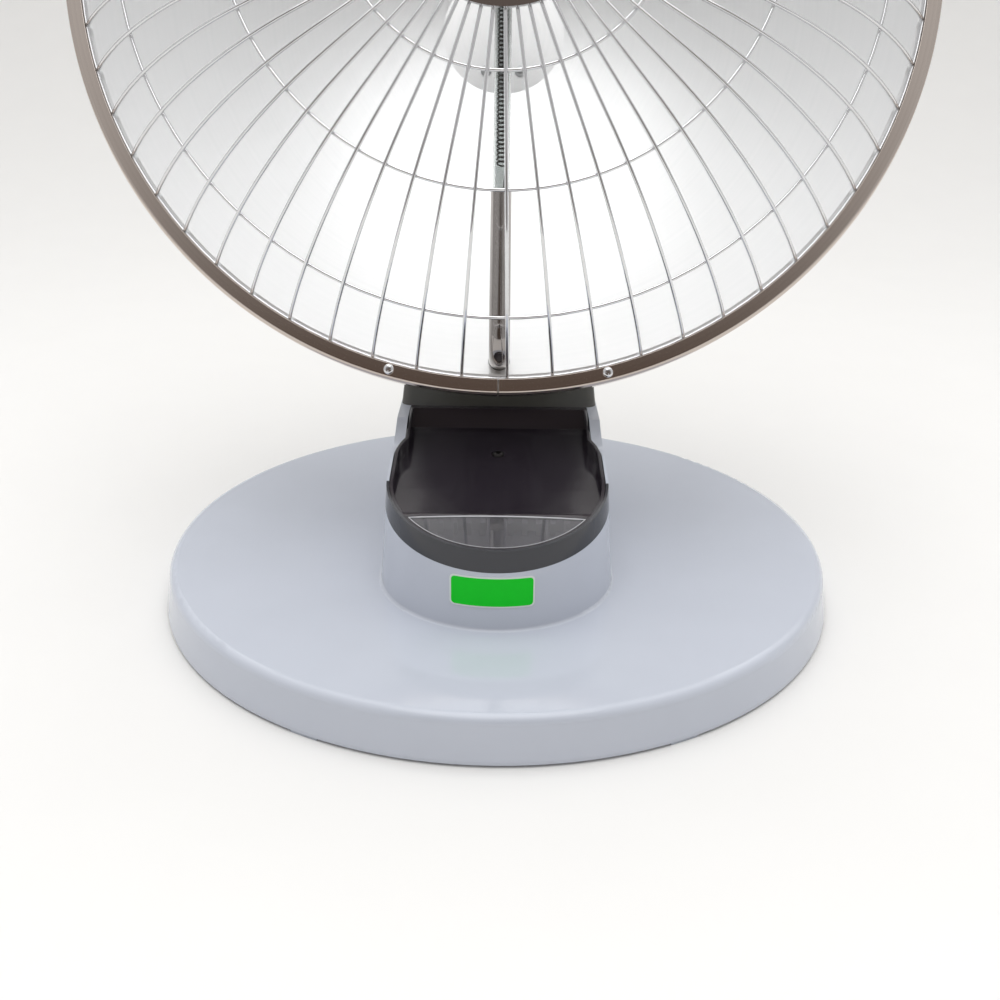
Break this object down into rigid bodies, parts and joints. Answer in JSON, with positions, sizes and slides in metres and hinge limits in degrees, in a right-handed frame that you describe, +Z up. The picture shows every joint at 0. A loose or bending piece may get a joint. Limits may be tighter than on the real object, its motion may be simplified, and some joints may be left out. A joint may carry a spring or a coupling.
{
  "type": "parabolic heater",
  "caption": "Table heater: a polished dish with a heating tube behind a domed wire guard, tilting on a leaning neck above a round weighted base with a scooped control tower.",
  "frame": {"origin": "on the floor under the middle of the whole heater", "axes": "+Z up from the floor, -Y towards the front where the dish looks, +X to the right seen from the front"},
  "size_m": [0.3968, 0.3674, 0.467],
  "materials": {
    "base_cover": "light blue-grey gloss moulding",
    "base_plate": "black painted sheet",
    "base_screws": "zinc-plated",
    "base_feet": "matt black",
    "ballast": "bare casting",
    "front_bezel": "dark grey gloss",
    "scoop_cover": "black gloss",
    "cover_screw": "blackened",
    "window_lens": "smoked clear",
    "light_tray": "mid grey",
    "neck_front": "black gloss",
    "neck_rear": "black gloss",
    "neck_post": "bright steel tube",
    "hinge_knuckle": "black painted",
    "hinge_washers": "friction disc",
    "hinge_bolt": "zinc-plated",
    "hinge_nut": "zinc-plated",
    "control_knob": "fine matt black",
    "switch_shaft": "turned steel",
    "rotary_switch": "black moulding",
    "tip_plunger": "black moulding",
    "tip_switch": "black moulding",
    "mains_terminal": "ivory moulding",
    "cord_gland": "black moulding",
    "reflector": "polished",
    "rim_band": "bright plated",
    "rim_screws": "bright plated",
    "guard_wires": "bright plated",
    "guard_rings": "bright plated",
    "guard_hoop": "bright plated",
    "guard_cap": "bright plated",
    "lower_holder": "bright plated tube",
    "upper_holder": "bright plated tube",
    "holder_collars": "zinc-plated",
    "quartz_tube": "clear quartz",
    "tube_plugs": "white ceramic",
    "filament": "resistance wire",
    "head_bracket": "black painted sheet",
    "bracket_screws": "zinc-plated",
    "rear_housing": "fine matt black",
    "housing_studs": "turned steel",
    "housing_screws": "zinc-plated",
    "heat_terminal": "white ceramic",
    "thermal_cutout": "dark brown moulding"
  },
  "bodies": {
    "stand": {"base_cover": "base_cover", "base_plate": "base_plate", "base_screws": "base_screws", "base_feet": "base_feet", "ballast": "ballast", "front_bezel": "front_bezel", "scoop_cover": "scoop_cover", "cover_screw": "cover_screw", "window_lens": "window_lens", "light_tray": "light_tray", "neck_front": "neck_front", "neck_rear": "neck_rear", "neck_post": "neck_post", "hinge_knuckle": "hinge_knuckle", "hinge_washers": "hinge_washers", "hinge_bolt": "hinge_bolt", "hinge_nut": "hinge_nut", "rotary_switch": "rotary_switch", "tip_switch": "tip_switch", "mains_terminal": "mains_terminal", "cord_gland": "cord_gland"},
    "head": {"reflector": "reflector", "rim_band": "rim_band", "rim_screws": "rim_screws", "guard_wires": "guard_wires", "guard_rings": "guard_rings", "guard_hoop": "guard_hoop", "guard_cap": "guard_cap", "lower_holder": "lower_holder", "upper_holder": "upper_holder", "holder_collars": "holder_collars", "quartz_tube": "quartz_tube", "tube_plugs": "tube_plugs", "filament": "filament", "head_bracket": "head_bracket", "bracket_screws": "bracket_screws", "rear_housing": "rear_housing", "housing_studs": "housing_studs", "housing_screws": "housing_screws", "heat_terminal": "heat_terminal", "thermal_cutout": "thermal_cutout"},
    "knob": {"control_knob": "control_knob", "switch_shaft": "switch_shaft"},
    "plunger": {"tip_plunger": "tip_plunger"}
  },
  "joints": [
    {"name": "head_tilt", "type": "hinge", "parent": "stand", "child": "head", "pos_m": [0, 0.08433, 0.1522], "axis": [1, 0, 0], "range_deg": [-12, 10]},
    {"name": "knob_turn", "type": "hinge", "parent": "stand", "child": "knob", "pos_m": [0, 0.07153, 0.0517], "axis": [0, 1, 0], "range_deg": [0, 270]},
    {"name": "tip_plunger", "type": "slide", "parent": "stand", "child": "plunger", "axis": [0, 0, 1], "range_m": [-0.003, 0], "stiffness_N_per_m": 60, "springref_m": -0.004}
  ]
}
